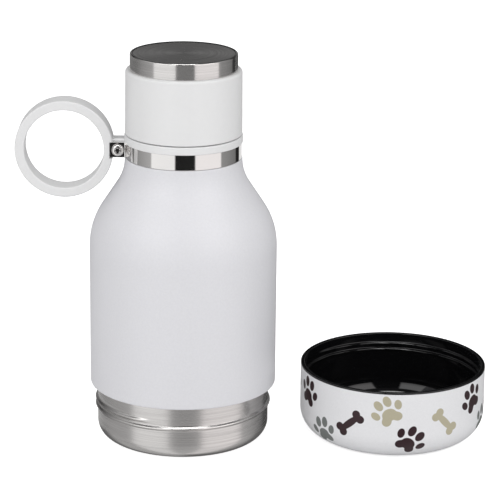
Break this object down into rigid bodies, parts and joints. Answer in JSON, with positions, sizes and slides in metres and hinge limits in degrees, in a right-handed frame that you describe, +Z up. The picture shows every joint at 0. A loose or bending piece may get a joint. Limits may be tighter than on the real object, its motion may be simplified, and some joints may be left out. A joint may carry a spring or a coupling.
{
  "type": "dog travel water bottle",
  "caption": "Insulated drinking bottle with a screw-on steel-topped lid, a carry loop clamped round the neck and a drinking bowl that screws onto the base, shown taken off.",
  "frame": {"origin": "centre of the bottle's underside, on the surface that the bottle and the bowl stand on", "axes": "+Z up the bottle's axis towards the lid; -X towards the carry loop; +X towards the bowl that stands beside the bottle; -Y is the side from which both are seen in the picture, where the head of the clamp screw lies"},
  "size_m": [0.2631, 0.109, 0.2194],
  "materials": {
    "white_coat": "white powder coat, satin, with a faint cool tint",
    "bare_steel": "stainless steel, turned and brushed around its axis",
    "polished_steel": "stainless steel, polished bright",
    "raw_steel": "stainless steel, blasted inside",
    "white_plastic": "white moulded polypropylene, satin",
    "core_plastic": "white moulded polypropylene, the side that meets the drink",
    "printed_coat": "white coat with printed paws and bones in dark brown, beige and grey",
    "black_plastic": "black moulded plastic, glossy",
    "foot_rubber": "black rubber, dull",
    "silicone": "grey silicone, food grade",
    "foam": null,
    "glass_bead": "solder glass, grey",
    "getter_metal": "sintered pellet on a tacked foil"
  },
  "bodies": {
    "bottle": {"outer_shell": "white_coat", "inner_flask": "raw_steel", "base_cup": "bare_steel", "base_disc": "bare_steel", "seal_bead": "glass_bead", "getter": "getter_metal", "carry_loop": "white_plastic", "clamp_band": "polished_steel", "clamp_screw": "polished_steel", "clamp_nut": "polished_steel", "clamp_washer": "polished_steel"},
    "lid_seal": {"lid_gasket": "silicone"},
    "lid": {"lid_sleeve": "white_plastic", "lid_core": "core_plastic", "lid_foam": "foam", "lid_cap": "bare_steel"},
    "bowl": {"bowl_shell": "printed_coat", "bowl_liner": "black_plastic", "bowl_foot": "foot_rubber"}
  },
  "joints": [
    {"name": "lid_lift", "type": "slide", "parent": "bottle", "child": "lid_seal", "axis": [0, 0, 1], "range_m": [0, 0.0251]},
    {"name": "lid_turn", "type": "hinge", "parent": "lid_seal", "child": "lid", "pos_m": [0, 0, 0.2], "axis": [0, 0, 1], "range_deg": [0, 900]},
    {"name": "bowl_lift", "type": "slide", "parent": "bottle", "child": "bowl", "axis": [0, 0, 1], "range_m": [0, 0.25]}
  ],
  "couplings": [
    {"joint": "lid_lift", "follows": "lid_turn", "m_per_rad": 0.0015915}
  ]
}
